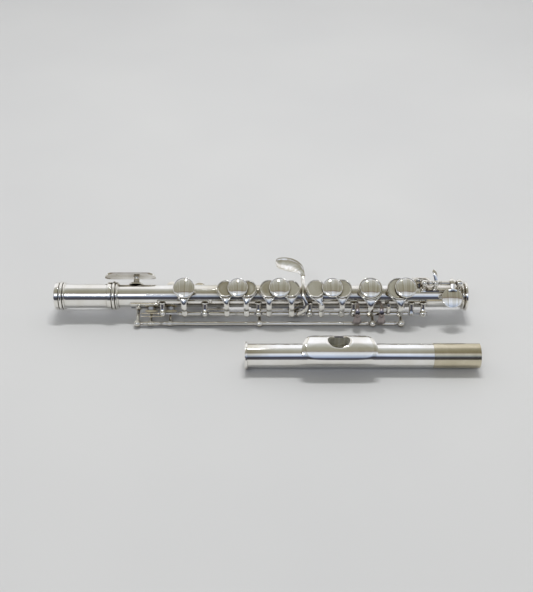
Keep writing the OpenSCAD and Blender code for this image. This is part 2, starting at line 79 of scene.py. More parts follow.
def mesh_object(name, shells, mat, body, replaced=(), smooth_angle=40):
    """One piece from several closed shells, each (vertices in mm, faces)."""
    bm = bmesh.new()
    for verts, faces in shells:
        made = [bm.verts.new(Vector(v) * MM) for v in verts]
        for face in faces:
            bm.faces.new([made[i] for i in face])
    bmesh.ops.recalc_face_normals(bm, faces=bm.faces)
    mesh = bpy.data.meshes.new(name)
    bm.to_mesh(mesh)
    bm.free()
    for polygon in mesh.polygons:
        polygon.use_smooth = True
    mesh.set_sharp_from_angle(angle=math.radians(smooth_angle))
    piece = bpy.data.objects.new(name, mesh)
    bpy.context.scene.collection.objects.link(piece)
    mesh.materials.append(mat)
    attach(piece, body)
    if replaced:
        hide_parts(*replaced)


def moved(shell, matrix):
    verts, faces = shell
    return [matrix @ Vector(v) for v in verts], faces


def lathe(profile, steps=48, closed=False):
    """A profile of (radius, height) turned about Z. Points on the axis close its ends, or the profile
    closes on itself round a hole."""
    verts, rings = [], []
    for radius, height in profile:
        around = steps if radius > 1e-6 else 1
        rings.append([len(verts) + k % around for k in range(steps)])
        for k in range(around):
            a = 2 * math.pi * k / steps
            verts.append((radius * math.cos(a), radius * math.sin(a), height))
    faces = []
    for low, high in zip(rings, rings[1:] + rings[:1] if closed else rings[1:]):
        for k in range(steps):
            n = (k + 1) % steps
            # A point on the axis is there twice, and is kept once
            faces.append(list(dict.fromkeys([low[k], low[n], high[n], high[k]])))
    return verts, faces


def tube_through(sections, steps):
    """A closed tube through oval sections, each a centre, half width and half height as vectors."""
    verts, faces = [], []
    for centre, wide, high in sections:
        for k in range(steps):
            a = 2 * math.pi * k / steps
            verts.append(centre + wide * math.cos(a) + high * math.sin(a))
    for i in range(len(sections) - 1):
        for k in range(steps):
            n = (k + 1) % steps
            faces.append([i * steps + k, i * steps + n, (i + 1) * steps + n, (i + 1) * steps + k])
    faces.append(list(range(steps)))
    faces.append(list(range((len(sections) - 1) * steps, len(sections) * steps)))
    return verts, faces


def path_ahead(points, i):
    """The direction of a path at one of its points."""
    return (points[min(i + 1, len(points) - 1)] - points[max(i - 1, 0)]).normalized()


def sweep(points, widths, heights, side, steps=16):
    """An oval section swept along points; side is the width's direction at every point."""
    side = Vector(side).normalized()
    sections = []
    for i, p in enumerate(points):
        ahead = path_ahead(points, i)
        across = (side - ahead * side.dot(ahead)).normalized()
        sections.append((p, across * widths[i] / 2, ahead.cross(across) * heights[i] / 2))
    return tube_through(sections, steps)


def slab(rows):
    """A closed thin body from a grid of (top point, bottom point) pairs."""
    high, wide = len(rows), len(rows[0])
    verts = [pair[0] for row in rows for pair in row] + [pair[1] for row in rows for pair in row]
    below = high * wide
    faces = []
    for i in range(high - 1):
        for j in range(wide - 1):
            a, b = i * wide + j, i * wide + j + 1
            c, d = a + wide, b + wide
            faces.append([a, b, d, c])
            faces.append([below + c, below + d, below + b, below + a])
    # Round the grid's edge, to close the sides
    edge = list(range(wide))
    edge += [i * wide + wide - 1 for i in range(1, high)]
    edge += [(high - 1) * wide + j for j in range(wide - 2, -1, -1)]
    edge += [i * wide for i in range(high - 2, 0, -1)]
    for a, b in zip(edge, edge[1:] + edge[:1]):
        faces.append([b, a, below + a, below + b])
    return verts, faces


def polar(distance, angle, x=0.0):
    """A point at an angle round the body's bore, in millimetres. Angle 0 is the key cups' direction."""
    a = math.radians(angle + ROLL)
    return Vector((x, -distance * math.sin(a), distance * math.cos(a)))


def round_bore(angle, x=0.0):
    """Axes with Z pointing away from the body's bore at that angle."""
    return Matrix.Translation((x, 0, 0)) @ Matrix.Rotation(math.radians(angle + ROLL), 4, "X")


def along_x(x, y=0.0, z=0.0):
    """Axes with Z along +X."""
    return Matrix.Translation((x, y, z)) @ Matrix.Rotation(math.pi / 2, 4, "Y")


def box_mm(node):
    """The low and high corners of a CAD node's box, in millimetres."""
    low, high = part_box(node)
    return low / MM, high / MM


def middle_x(node):
    low, high = box_mm(node)
    return (low.x + high.x) / 2


def joint_place(joint):
    return Vector(JOINTS[joint]["pos_m"]) / MM


# ---- Materials ----


# A Mix node's sockets for colours
MIX_SHARE = 0
MIX_FIRST = 6
MIX_SECOND = 7
MIX_RESULT = 2


def fill_ramp(ramp, stops):
    """Give a colour ramp its stops, each (place, colour)."""
    while len(ramp.elements) < len(stops):
        ramp.elements.new(0.5)
    for element, (place, colour) in zip(ramp.elements, stops):
        element.position = place
        element.color = (*colour, 1)


def mix_colours(tree, first, second, blend="MIX", share=None):
    """Two colours mixed by a share, or in full where none is given."""
    made = tree.nodes.new("ShaderNodeMix")
    made.data_type = "RGBA"
    made.blend_type = blend
    if share is None:
        made.inputs[MIX_SHARE].default_value = 1.0
    else:
        tree.links.new(share, made.inputs[MIX_SHARE])
    tree.links.new(first, made.inputs[MIX_FIRST])
    tree.links.new(second, made.inputs[MIX_SECOND])
    return made.outputs[MIX_RESULT]


def maths(tree, kind, operation, first, second=None):
    """A maths node on an output and a second output, number or vector."""
    made = tree.nodes.new(kind)
    made.operation = operation
    tree.links.new(first, made.inputs[0])
    if isinstance(second, bpy.types.NodeSocket):
        tree.links.new(second, made.inputs[1])
    elif second is not None:
        made.inputs[1].default_value = second
    return made


class Nodes:
    """A material's node tree, with short calls to build it."""

    def __init__(self, name):
        self.mat = bpy.data.materials.new(name)
        self.mat.use_nodes = True
        self.tree = self.mat.node_tree
        self.shader = self.tree.nodes["Principled BSDF"]
        self.place = self.add("ShaderNodeTexCoord").outputs["Object"]

    def add(self, kind, **values):
        made = self.tree.nodes.new(kind)
        for key, value in values.items():
            made.inputs[key].default_value = value
        return made

    def link(self, out, into):
        self.tree.links.new(out, into)
        return into

    def stretched(self, scale):
        mapping = self.add("ShaderNodeMapping", Scale=scale)
        self.link(self.place, mapping.inputs["Vector"])
        return mapping.outputs["Vector"]

    def noise(self, scale, detail=3.0, rough=0.5, at=None):
        made = self.add("ShaderNodeTexNoise", Scale=scale, Detail=detail, Roughness=rough)
        self.link(at or self.place, made.inputs["Vector"])
        return made.outputs["Fac"]

    def ramp(self, value, stops):
        made = self.add("ShaderNodeValToRGB")
        fill_ramp(made.color_ramp, stops)
        self.link(value, made.inputs["Fac"])
        return made.outputs["Color"]

    def remap(self, value, low, high, start=0.3, end=0.7):
        limits = {"From Min": start, "From Max": end, "To Min": low, "To Max": high}
        made = self.add("ShaderNodeMapRange", **limits)
        self.link(value, made.inputs["Value"])
        return made.outputs["Result"]

    def bump(self, height, strength, distance, normal=None):
        made = self.add("ShaderNodeBump", Strength=strength, Distance=distance)
        self.link(height, made.inputs["Height"])
        if normal:
            self.link(normal, made.inputs["Normal"])
        return made.outputs["Normal"]

    def done(self, colour, rough, normal, metallic=0.0):
        self.link(colour, self.shader.inputs["Base Color"])
        self.link(rough, self.shader.inputs["Roughness"])
        self.link(normal, self.shader.inputs["Normal"])
        self.shader.inputs["Metallic"].default_value = metallic
        return self.mat


# Painted shade: crevices, gaps between parts and where parts meet the tube are darkened in the colour by ambient
# occlusion, tinted brown like tarnish
CREVICE_SAMPLES = 6
CREVICE_PAINTED_SHADE = [(0.25, (0.16, 0.13, 0.09)), (0.55, (0.55, 0.51, 0.44)), (0.86, (1.0, 1.0, 1.0))]


def polished_metal(name, clean, tarnished, rough, haze, wave=0.03):
    """Plate with faint cloudy tarnish, polishing haze and hair scratches, and painted shade darkening its
    crevices, tinted brown like tarnish.
    """
    n = Nodes(name)
    cloud = n.noise(95.0, 4.0, 0.6)
    open_metal = n.ramp(cloud, [(0.36, clean), (0.74, tarnished)])
    polish = n.remap(n.noise(420.0, 5.0, 0.65), rough, haze)
    ripple = n.bump(n.noise(160.0, 2.0, 0.4), wave, 0.0006)
    scratch = n.bump(n.noise(3000.0, 2.0, 0.7, n.stretched((0.12, 1.0, 1.0))), 0.02, 0.0001, ripple)
    # Painted shade: the colour darkens where ambient occlusion finds nearby parts
    crevice = n.add("ShaderNodeAmbientOcclusion", Distance=0.0055)
    crevice.samples = CREVICE_SAMPLES
    painted_shade = n.ramp(crevice.outputs["AO"], CREVICE_PAINTED_SHADE)
    return n.done(mix_colours(n.tree, open_metal, painted_shade, "MULTIPLY"), polish, scratch, 1.0)


def turned_metal(name, light, dark, rough, haze, strength=0.12):
    """Metal with fine turning marks round the X axis."""
    n = Nodes(name)
    lines = n.noise(900.0, 3.0, 0.6, n.stretched((4.0, 0.05, 0.05)))
    cloud = n.noise(140.0, 4.0, 0.6)
    colour = n.ramp(cloud, [(0.3, light), (0.75, dark)])
    polish = n.remap(lines, rough, haze)
    return n.done(colour, polish, n.bump(lines, strength, 0.00005), 1.0)


def hollow_metal(name, centre, wall):
    """Polished outside, and satin inside this radius (metres) about an axis along X."""
    n = Nodes(name)
    off = maths(n.tree, "ShaderNodeVectorMath", "SUBTRACT", n.place, (0, *centre))
    flat = maths(n.tree, "ShaderNodeVectorMath", "MULTIPLY", off.outputs[0], (0, 1, 1))
    reach = maths(n.tree, "ShaderNodeVectorMath", "LENGTH", flat.outputs[0])
    outside = n.remap(reach.outputs["Value"], 0.0, 1.0, wall + 0.00005, wall + 0.0003)
    cloud = n.noise(95.0, 4.0, 0.6)
    streaks = n.noise(1.0, 2.0, 0.5, n.stretched((900.0, 20.0, 20.0)))
    satin = n.ramp(streaks, [(0.35, (0.80, 0.78, 0.68)), (0.65, (0.98, 0.97, 0.92))])
    polished = n.ramp(cloud, [(0.36, (0.94, 0.93, 0.90)), (0.74, (0.86, 0.84, 0.78))])
    colour = mix_colours(n.tree, satin, polished, share=outside)
    ripple = n.bump(n.noise(160.0, 2.0, 0.4), 0.03, 0.0006)
    return n.done(colour, n.remap(outside, 0.62, 0.07, 0.0, 1.0), ripple, 1.0)


def pad_skin():
    n = Nodes("pad_skin")
    cloud = n.noise(500.0, 5.0, 0.6)
    skins = [(0.3, (0.86, 0.74, 0.48)), (0.6, (0.93, 0.85, 0.64)), (0.8, (0.80, 0.60, 0.34))]
    colour = n.ramp(cloud, skins)
    wrinkle = n.noise(1800.0, 4.0, 0.7)
    return n.done(colour, n.remap(cloud, 0.35, 0.55), n.bump(wrinkle, 0.25, 0.00008))


def felt():
    n = Nodes("felt")
    fibre = n.noise(6000.0, 4.0, 0.8, n.stretched((1.0, 0.3, 1.0)))
    colour = n.ramp(fibre, [(0.3, (0.30, 0.12, 0.04)), (0.7, (0.62, 0.32, 0.13))])
    n.shader.inputs["Sheen Weight"].default_value = 0.4
    return n.done(colour, n.remap(fibre, 0.85, 1.0), n.bump(fibre, 0.6, 0.0002))


def cork():
    n = Nodes("cork")
    grain = n.noise(900.0, 6.0, 0.75)
    browns = [(0.35, (0.22, 0.12, 0.06)), (0.46, (0.62, 0.43, 0.25)), (0.7, (0.74, 0.57, 0.38))]
    colour = n.ramp(grain, browns)
    return n.done(colour, n.remap(grain, 0.7, 0.9), n.bump(grain, 0.5, 0.0003))


def floor_paint():
    n = Nodes("floor")
    cloud = n.noise(6.0, 3.0, 0.5)
    colour = n.ramp(cloud, [(0.3, (0.62, 0.62, 0.62)), (0.7, (0.66, 0.66, 0.655))])
    return n.done(colour, n.remap(cloud, 0.6, 0.75), n.bump(n.noise(900.0), 0.04, 0.0002))


SILVER = polished_metal("silver_plate", (0.94, 0.93, 0.90), (0.86, 0.84, 0.78), 0.03, 0.11)
# Painted shade: a darkened copy of the silver plate, used for the trill touches, which are plated like the rest
SHADED_SILVER = polished_metal("painted_shade_silver", (0.42, 0.37, 0.36), (0.30, 0.26, 0.26), 0.05, 0.14)
LIP_SILVER = polished_metal("lip_silver", (0.95, 0.94, 0.91), (0.88, 0.86, 0.80), 0.04, 0.12)
NICKEL = turned_metal("nickel_silver", (0.74, 0.68, 0.53), (0.60, 0.54, 0.40), 0.09, 0.17, 0.03)
STEEL = turned_metal("rod_steel", (0.64, 0.65, 0.67), (0.50, 0.51, 0.54), 0.10, 0.24, 0.06)
GOLD = turned_metal("spring_gold", (0.80, 0.72, 0.56), (0.66, 0.58, 0.44), 0.14, 0.28, 0.05)
PAD = pad_skin()
FELT = felt()
CORK = cork()
# The radius inside which each is satin, in metres: the head tube's bore, and all of the riser
BORE_SATIN_R = 0.0056
RISER_SATIN_R = 0.02
BY_SLOT = {"silver_plate": SILVER, "lip_silver": LIP_SILVER, "nickel_silver": NICKEL, "rod_steel": STEEL,
           "spring_gold": GOLD, "pad_skin": PAD, "felt": FELT, "cork": CORK}


def silver_piece(name, shells, body, node, smooth_angle=40):
    """A silver-plated piece that takes the place of one CAD node."""
    mesh_object(name, shells, SILVER, body, (node,), smooth_angle)


def dress_cad_nodes():
    """Every CAD node that stays in view takes its slot's material."""
    slots = {s["node"]: s["material_slot"] for s in frame["record"]["subparts"]}
    y0, z0 = head_axis()
    centre = (y0 * MM, z0 * MM)
    hollow = {"head_tube": hollow_metal("head_silver", centre, BORE_SATIN_R),
              "lip_riser": hollow_metal("riser_silver", centre, RISER_SATIN_R)}
    for name, node in frame["nodes"].items():
        node.data.materials.clear()
        node.data.materials.append(hollow.get(name, BY_SLOT[slots[name]]))


# ---- Studio ----


# Round from the viewer's horizon, over the top, to the far horizon, as a share of a half turn
SKY_BANDS = [(0.00, (0.10, 0.10, 0.11)), (0.13, (0.05, 0.05, 0.07)), (0.16, (0.26, 0.31, 0.42)),
             (0.21, (0.50, 0.56, 0.68)), (0.27, (0.74, 0.77, 0.82)), (0.335, (0.50, 0.50, 0.50)),
             (0.345, (0.16, 0.11, 0.08)), (0.36, (0.30, 0.28, 0.22)), (0.47, (0.33, 0.32, 0.26)),
             (0.60, (0.50, 0.50, 0.47)), (0.68, (0.98, 0.97, 0.98)), (0.90, (0.92, 0.92, 0.92)),
             (1.00, (0.60, 0.60, 0.60))]
STREAK_TINTS = [(0.38, (0.80, 0.78, 0.72)), (0.62, (1.14, 1.17, 1.25))]
STREAK_SCALE = 11.0
STREAK_DETAIL = 3.0
# Half the floor's side, and its gap below the lowest part, in metres
FLOOR_HALF = 3.0
FLOOR_GAP = 0.0001


def sky():
    """The light all round: bands by the angle about X, and faint streaks along X."""
    world = bpy.data.worlds.new("studio")
    bpy.context.scene.world = world
    world.use_nodes = True
    tree = world.node_tree
    place = tree.nodes.new("ShaderNodeTexCoord")
    split = tree.nodes.new("ShaderNodeSeparateXYZ")
    tree.links.new(place.outputs["Generated"], split.inputs[0])
    back = maths(tree, "ShaderNodeMath", "MULTIPLY", split.outputs["Y"], -1.0)
    height = maths(tree, "ShaderNodeMath", "ARCTAN2", split.outputs["Z"], back.outputs[0])
    share = maths(tree, "ShaderNodeMath", "DIVIDE", height.outputs[0], math.pi)
    bands = tree.nodes.new("ShaderNodeValToRGB")
    fill_ramp(bands.color_ramp, SKY_BANDS)
    tree.links.new(share.outputs[0], bands.inputs["Fac"])
    streak = tree.nodes.new("ShaderNodeTexNoise")
    streak.noise_dimensions = "1D"
    streak.inputs["Scale"].default_value = STREAK_SCALE
    streak.inputs["Detail"].default_value = STREAK_DETAIL
    tree.links.new(split.outputs["X"], streak.inputs["W"])
    tint = tree.nodes.new("ShaderNodeValToRGB")
    fill_ramp(tint.color_ramp, STREAK_TINTS)
    tree.links.new(streak.outputs["Fac"], tint.inputs["Fac"])
    colour = mix_colours(tree, bands.outputs["Color"], tint.outputs["Color"], "MULTIPLY")
    tree.links.new(colour, tree.nodes["Background"].inputs["Color"])


def soft_light(name, middle, offset, size, power, colour):
    """A rectangular lamp at an offset from the object's middle, turned towards it."""
    lamp = bpy.data.lights.new(name, "AREA")
    lamp.shape = "RECTANGLE"
    lamp.size, lamp.size_y = size
    lamp.energy = power
    lamp.color = colour
    light = bpy.data.objects.new(name, lamp)
    bpy.context.scene.collection.objects.link(light)
    light.location = middle + Vector(offset)
    light.rotation_mode = "QUATERNION"
    light.rotation_quaternion = (-Vector(offset)).to_track_quat("-Z", "Y")
    return light


def studio():
    sky()
    middle = (cad_low + cad_high) / 2
    soft_light("front_light", middle, (-0.30, -0.70, 0.72), (0.20, 0.12), 0.9, (0.98, 0.99, 1.0))
    # The overhead light throws the tube's shadow under the keywork, and isn't mirrored in the plates
    overhead = soft_light("overhead_light", middle, (0.05, 0.28, 0.92), (0.30, 0.10), 4.0, (1.0, 1.0, 1.0))
    overhead.visible_glossy = False
    soft_light("spark_light", middle, (-0.05, 0.42, 1.50), (0.045, 0.045), 0.9, (0.96, 0.98, 1.0))

    low = cad_low.z - FLOOR_GAP
    corners = []
    for a, b in ((-1, -1), (1, -1), (1, 1), (-1, 1)):
        corners.append((middle.x + a * FLOOR_HALF, middle.y + b * FLOOR_HALF, low))
    mesh = bpy.data.meshes.new("floor")
    mesh.from_pydata(corners, [], [[0, 1, 2, 3]])
    floor = bpy.data.objects.new("floor", mesh)
    bpy.context.scene.collection.objects.link(floor)
    mesh.materials.append(floor_paint())


# The camera's angle above the floor in degrees, its distance from the body joint in metres, its lens in
# millimetres, and the share of the body joint's length at which it aims
VIEW_ELEVATION = 36.0
VIEW_DISTANCE = 0.506
VIEW_LENS = 57.65
VIEW_AIM = 0.513


def camera():
    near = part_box("receiver")[0].x
    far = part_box("foot_ring")[1].x
    aim = Vector((near + (far - near) * VIEW_AIM, 0, 0))
    e = math.radians(VIEW_ELEVATION)
    back = Vector((0, -math.cos(e), math.sin(e)))
    data = bpy.data.cameras.new("camera")
    data.lens = VIEW_LENS
    data.clip_start = 0.01
    cam = bpy.data.objects.new("camera", data)
    bpy.context.scene.collection.objects.link(cam)
    cam.location = aim + back * VIEW_DISTANCE
    cam.rotation_mode = "QUATERNION"
    cam.rotation_quaternion = (-back).to_track_quat("-Z", "Y")
    bpy.context.scene.camera = cam
    bpy.context.scene.view_settings.view_transform = "Standard"


# ---- Keys of the row ----

# The row's own axes turned into the world: the cups face +Z there, and the hinge is at HINGE
ROD = joint_place("a_hinge")
ROD.x = 0
HINGE = Vector((0, -10.36, -0.906))
ROW = (Matrix.Translation(ROD) @ Matrix.Rotation(math.radians(ROLL + KEY_LIFT), 4, "X")
       @ Matrix.Translation(-HINGE))
# The arms, in the row's own axes: where the bend starts, as a share of the cup's radius; its radius; the
# heights at which it starts and ends; the stem's half width; and how far the foot reaches past the bend
# and the fork past the cup's edge
BEND_SHARE = 0.75
ARM_R = 6.1
ARM_TOP = SEAT + 1.2
KNEE = 2.4
STEM_HALF = 1.28
FOOT_REACH = 5.1
FORK_REACH = 3.7
# Hinge tubes: the rod's hole, the collar that carries an arm, and the thin rods, which are all but solid
ROD_HOLE = 0.63
HUB_R = 1.4
THIN_ROD_R = 0.6
THIN_ROD_HOLE = 0.02


def cup_shell(x, r):
    """A key's cup: a flat floor inside a rounded rim, hollow underneath for its pad."""
    profile = [(0, 1.90), (r * 0.5, 1.89), (r - 1.0, CUP_FLOOR), (r - 0.78, 1.86), (r - 0.66, 2.0),
               (r - 0.54, 2.14), (r - 0.34, 2.2), (r - 0.12, 2.12), (r - 0.02, 1.93), (r, 1.75), (r, 0.75),
               (r - 0.04, 0.6), (r - 0.15, 0.52), (r - 0.3, 0.5), (r - 0.5, 0.55), (r - 0.5, 1.42),
               (0, 1.42)]
    return moved(lathe([(p, SEAT + h) for p, h in profile], 64), Matrix.Translation((x, 0, 0)))


def plate_shell(x, r, z):
    """Domed finger plate: a shallow dome inside a rolled edge."""
    profile = [(0, 1.35)]
    for k in range(1, 9):
        t = k / 8
        profile.append(((r - 0.56) * t, 1.35 - 0.75 * t * t))
    profile += [(r - 0.48, 0.55), (r - 0.42, 0.6), (r - 0.32, 0.72), (r - 0.2, 0.76), (r - 0.08, 0.68),
                (r, 0.48), (r, 0.3), (r - 0.06, 0.14), (r - 0.2, 0.04), (r - 0.4, 0.0), (0, 0.0)]
    return moved(lathe([(p, z + h) for p, h in profile], 72), Matrix.Translation((x, 0, 0)))


def rod_shell(x0, x1, at, r, inner=ROD_HOLE, grooves=()):
    """A hinge tube along X, bored for its rod, with eased ends."""
    e = 0.12
    profile = [(inner, 0), (r - e, 0), (r, e)]
    for g in grooves:
        profile += [(r, g - 0.12), (r - 0.14, g), (r, g + 0.12)]
    profile += [(r, x1 - x0 - e), (r - e, x1 - x0), (inner, x1 - x0)]
    return moved(lathe(profile, 28, closed=True), along_x(x0, at.y, at.z))


def hub_shell(x, half, at, r=HUB_R, groove=0.5):
    """The thicker collar of a hinge tube that carries an arm, grooved near both ends."""
    return rod_shell(x - half, x + half, at, r, grooves=(groove, 2 * half - groove))


def arm_place(x, along, r, out=0.0):
    """A point of an arm: along is measured on its skin from over the cup's centre down to the hinge."""
    turn = BEND_SHARE * r
    if along <= turn:
        return Vector((x, -along, ARM_TOP + out))
    arc = ARM_R * math.pi / 2
    if along <= turn + arc:
        a = (along - turn) / ARM_R
        return Vector((x, -turn - (ARM_R + out) * math.sin(a), KNEE + (ARM_R + out) * math.cos(a)))
    # Below the bend the arm runs straight down, easing out to pass in front of the hinge tube
    down = along - turn - arc
    knee_y = -turn - ARM_R
    shift = (HINGE.y - 1.15 - knee_y) * min(1.0, down / 3.2)
    return Vector((x, knee_y + shift - out, KNEE - down))


def blend_value(a, b, t):
    t = max(0.0, min(1.0, t))
    t = t * t * (3 - 2 * t)
    return a + (b - a) * t


def arm_shells(cup_x, r, arm_x):
    """A forked arm: pointed foot over the hinge, ridged stem, hollow web and two horns along the cup."""
    dx = cup_x - arm_x
    fork = r + FORK_REACH
    foot = BEND_SHARE * r + ARM_R * math.pi / 2 + FOOT_REACH
    rows, count, across = [], 32, 12
    for i in range(count + 1):
        s = foot + (r - 0.15 - foot) * (i / count)
        # Half width: a point at the foot, a slight swell over the hinge, the stem, then the flare
        if s > foot - 1.5:
            w = 0.12 + (STEM_HALF + 0.15 - 0.12) * ((foot - s) / 1.5) ** 0.8
        elif s > foot - 3.6:
            w = blend_value(STEM_HALF + 0.15, STEM_HALF, (foot - 1.5 - s) / 2.1)
        else:
            w = STEM_HALF
        open_up = max(0.0, (fork - s) / (fork - r + 0.15))
        w += open_up ** 1.5 * (0.62 * r - w)
        centre = arm_x + dx * open_up
        row = []
        for k in range(across + 1):
            v = -1 + 2 * k / across
            ridge = 0.52 * (1 - abs(v)) * (1 - open_up)
            web = -0.22 * math.sin(math.pi * min(1.0, open_up * 1.5) / 2) * (1 - abs(v) ** 4)
            top = 0.28 + ridge + web
            under = -0.42 + 0.2 * abs(v) ** 3
            if s > foot - 1.2:
                top *= 0.35 + 0.65 * (foot - s) / 1.2
                under *= 0.35 + 0.65 * (foot - s) / 1.2
            x = centre + v * w
            row.append((arm_place(x, s, r, top), arm_place(x, s, r, min(under, top - 0.12))))
        rows.append(row)
    shells = [slab(rows)]
    # Each horn leaves the stem on a curve, then hugs the cup's wall
    hug, aim, last = r + 0.12, math.radians(44), math.radians(34)
    for side in (-1, 1):
        start = Vector((arm_x + side * 0.85, fork + 1.2))
        end = Vector((cup_x + side * hug * math.sin(aim), hug * math.cos(aim)))
        away = Vector((math.cos(aim) * side, -math.sin(aim)))
        c0 = start + Vector((0, -2.3))
        c1 = end - away * 1.9
        path = []
        for k in range(13):
            t = k / 12
            path.append(start * (1 - t) ** 3 + c0 * 3 * t * (1 - t) ** 2
                        + c1 * 3 * t * t * (1 - t) + end * t ** 3)
        for k in range(1, 10):
            a = aim + last * k / 9
            path.append(Vector((cup_x + side * hug * math.sin(a), hug * math.cos(a))))
        n = len(path)
        points = [arm_place(p.x, p.y, r, 0.12 * min(1, i / 5)) for i, p in enumerate(path)]
        widths = [0.35 + 0.5 * min(1.0, i / 7) for i in range(n)]
        heights = [0.6 + 0.45 * min(1.0, i / 7) for i in range(n)]
        for i in range(n):
            left = (n - 1 - i) / 8
            if left < 1:
                widths[i] *= 0.3 + 0.7 * left ** 0.7
                heights[i] *= 0.35 + 0.65 * left ** 0.7
        shells.append(oval_sweep(points, widths, heights))
    return shells


def oval_sweep(points, widths, heights, steps=12):
    """An oval section along a path whose width stays square to both the path and the key's face."""
    sections = []
    for i, p in enumerate(points):
        ahead = path_ahead(points, i)
        on_cup = p.z > ARM_TOP - 0.4
        face = Vector((0, 0, 1)) if on_cup else (p - Vector((p.x, -3.8, KNEE))).normalized()
        across = ahead.cross(face).normalized()
        up = across.cross(ahead).normalized()
        sections.append((p, across * widths[i] / 2, up * heights[i] / 2))
    return tube_through(sections, steps)


# Each key of the row: cup radii, arm's shift from each cup's centre, and how far its hinge tube runs
# before and past the first cup's centre
ROW_KEYS = {
    "c_sharp": ([4.9], [0.0], (3.8, 8.4)),
    "b_flat": ([4.65], [0.5], (9.2, 5.0)),
    "a": ([4.65], [-0.8], (6.3, 3.3)),
    "g": ([4.9, 4.7], [0.1, 0.3], (3.5, 14.1)),
    "f_sharp": ([4.95], [3.1], (1.1, 7.3)),
    "f": ([5.2], [0.0], (6.1, 4.1)),
    "e": ([6.2], [0.0], (6.4, 5.9)),
    "d": ([6.0], [1.2], (8.5, 5.4)),
}
PAD_INSET = 0.55


def pad_shell(x, r):
    """A pad with a rounded edge, its skin drawn in round the washer at its middle."""
    p = r - PAD_INSET
    profile = [(0, 0.35), (0.45, 0.33), (0.95, 0.42), (1.15, 0.3), (1.3, 0.16), (1.6, 0.1), (p * 0.6, 0.05),
               (p - 0.5, 0.08), (p - 0.15, 0.2), (p, 0.45), (p, 1.0), (p - 0.1, PAD_T), (0, PAD_T)]
    return moved(lathe([(a, SEAT + h) for a, h in profile], 48), ROW @ Matrix.Translation((x, 0, 0)))


def row_keys():
    for name, (radii, shifts, (before, past)) in ROW_KEYS.items():
        pads = name + ("_pads" if len(radii) > 1 else "_pad")
        low, high = box_mm(pads)
        centres = [low.x + radii[0] - PAD_INSET]
        if len(radii) > 1:
            centres.append(high.x - radii[1] + PAD_INSET)
        shells = []
        for x, r, shift in zip(centres, radii, shifts):
            shells.append(cup_shell(x, r))
            shells += arm_shells(x, r, x + shift)
            shells.append(hub_shell(x + shift, 1.4, HINGE))
        shells.append(rod_shell(centres[0] - before, centres[0] + past, HINGE, HINGE_R, grooves=(0.45,)))
        if name == "d":
            shells += adjusting_arm(centres[0] - 5.1)
        body = name + "_action"
        silver_piece(name + "_cup_and_arm", [moved(s, ROW) for s in shells], body, name + "_key")
        skins = [pad_shell(x, r) for x, r in zip(centres, radii)]
        mesh_object(name + "_skin", skins, PAD, body, (pads,))


def adjusting_arm(x):
    """Flat bent finger from the D key's hinge to its adjusting screw."""
    path = [(-10.5, -0.9), (-10.45, 0.6), (-10.1, 2.1), (-9.2, 3.4), (-8.1, 4.35), (-7.2, 5.0)]
    points = [Vector((x, y, z)) for y, z in path]
    return [sweep(points, [2.2] * 5 + [1.6], [1.1, 1.15, 1.1, 1.05, 1.0, 0.8], (1, 0, 0), 16)]


# Each finger plate: its key, how high it stands on the cup, and its stems as (shift, radius)
PLATES = {
    "c_sharp": (CUP_TOP + 0.1, [(0.0, 2.5)]),
    "a": (2.75, [(2.8, 1.4)]),
    "g": (2.75, [(-2.8, 1.3), (3.2, 1.1)]),
    "f": (2.75, [(2.5, 1.4)]),
    "e": (CUP_FLOOR, []),
    "d": (2.75, [(-1.5, 1.4)]),
}


def finger_plates():
    for name, (lift, stems) in PLATES.items():
        low, high = box_mm(name + "_plate")
        x, r = (low.x + high.x) / 2, (high.x - low.x) / 2
        shells = [plate_shell(x, r, SEAT + lift)]
        for shift, stem_r in stems:
            bottom = SEAT + CUP_FLOOR - 0.05
            top = SEAT + lift + 0.1
            stem = lathe([(0, bottom), (stem_r + 0.25, bottom), (stem_r, bottom + 0.25),
                          (stem_r, top - 0.2), (stem_r + 0.15, top), (0, top)], 32)
            shells.append(moved(stem, Matrix.Translation((x + shift, 0, 0))))
        silver_piece(name + "_button", [moved(s, ROW) for s in shells], name + "_action", name + "_plate")


# ---- G sharp key: the little finger's spoon, its lever over the tube and its cup below ----

ROLLED = Matrix.Rotation(math.radians(ROLL), 4, "X")


def smooth_path(points, per=4):
    """More points through the given ones (Catmull-Rom)."""
    pts = [Vector(p) for p in points]
    pts = [pts[0] * 2 - pts[1]] + pts + [pts[-1] * 2 - pts[-2]]
    out = []
    for i in range(1, len(pts) - 2):
        a, b, c, d = pts[i - 1:i + 3]
        for k in range(per):
            t = k / per
            out.append(0.5 * (2 * b + (c - a) * t + (2 * a - 5 * b + 4 * c - d) * t * t
                              + (3 * b - a - 3 * c + d) * t ** 3))
    out.append(pts[-2])
    return out


def strip(stations, across=12, per=4):
    """A lofted strip. Each station: centre, face normal, half width, hollow depth, lip height,
    thickness and crown."""
    path = smooth_path([Vector(st[0]) for st in stations], per)
    rows = []
    for i, c in enumerate(path):
        f = min(i / per, len(stations) - 1.0001)
        k, t = int(f), f - int(f)
        lo, hi = stations[k], stations[k + 1]
        normal = (Vector(lo[1]) * (1 - t) + Vector(hi[1]) * t).normalized()
        half, hollow, lip, thick, crown = (lo[j] * (1 - t) + hi[j] * t for j in range(2, 7))
        ahead = path_ahead(path, i)
        side = normal.cross(ahead).normalized()
        normal = ahead.cross(side).normalized()
        row = []
        for m in range(across + 1):
            v = -1 + 2 * m / across
            edge = max(0.0, (abs(v) - 0.72) / 0.28)
            rim = lip * math.sin(math.pi * min(1.0, edge) * 0.75)
            top = hollow * (v * v - 1) + rim + crown * (1 - v * v)
            under = hollow * (v * v - 1) - thick * (1 - 0.55 * edge ** 2)
            here = c + side * (v * half)
            row.append((here + normal * top, here + normal * min(under, top - 0.1)))
        rows.append(row)
    return slab(rows)


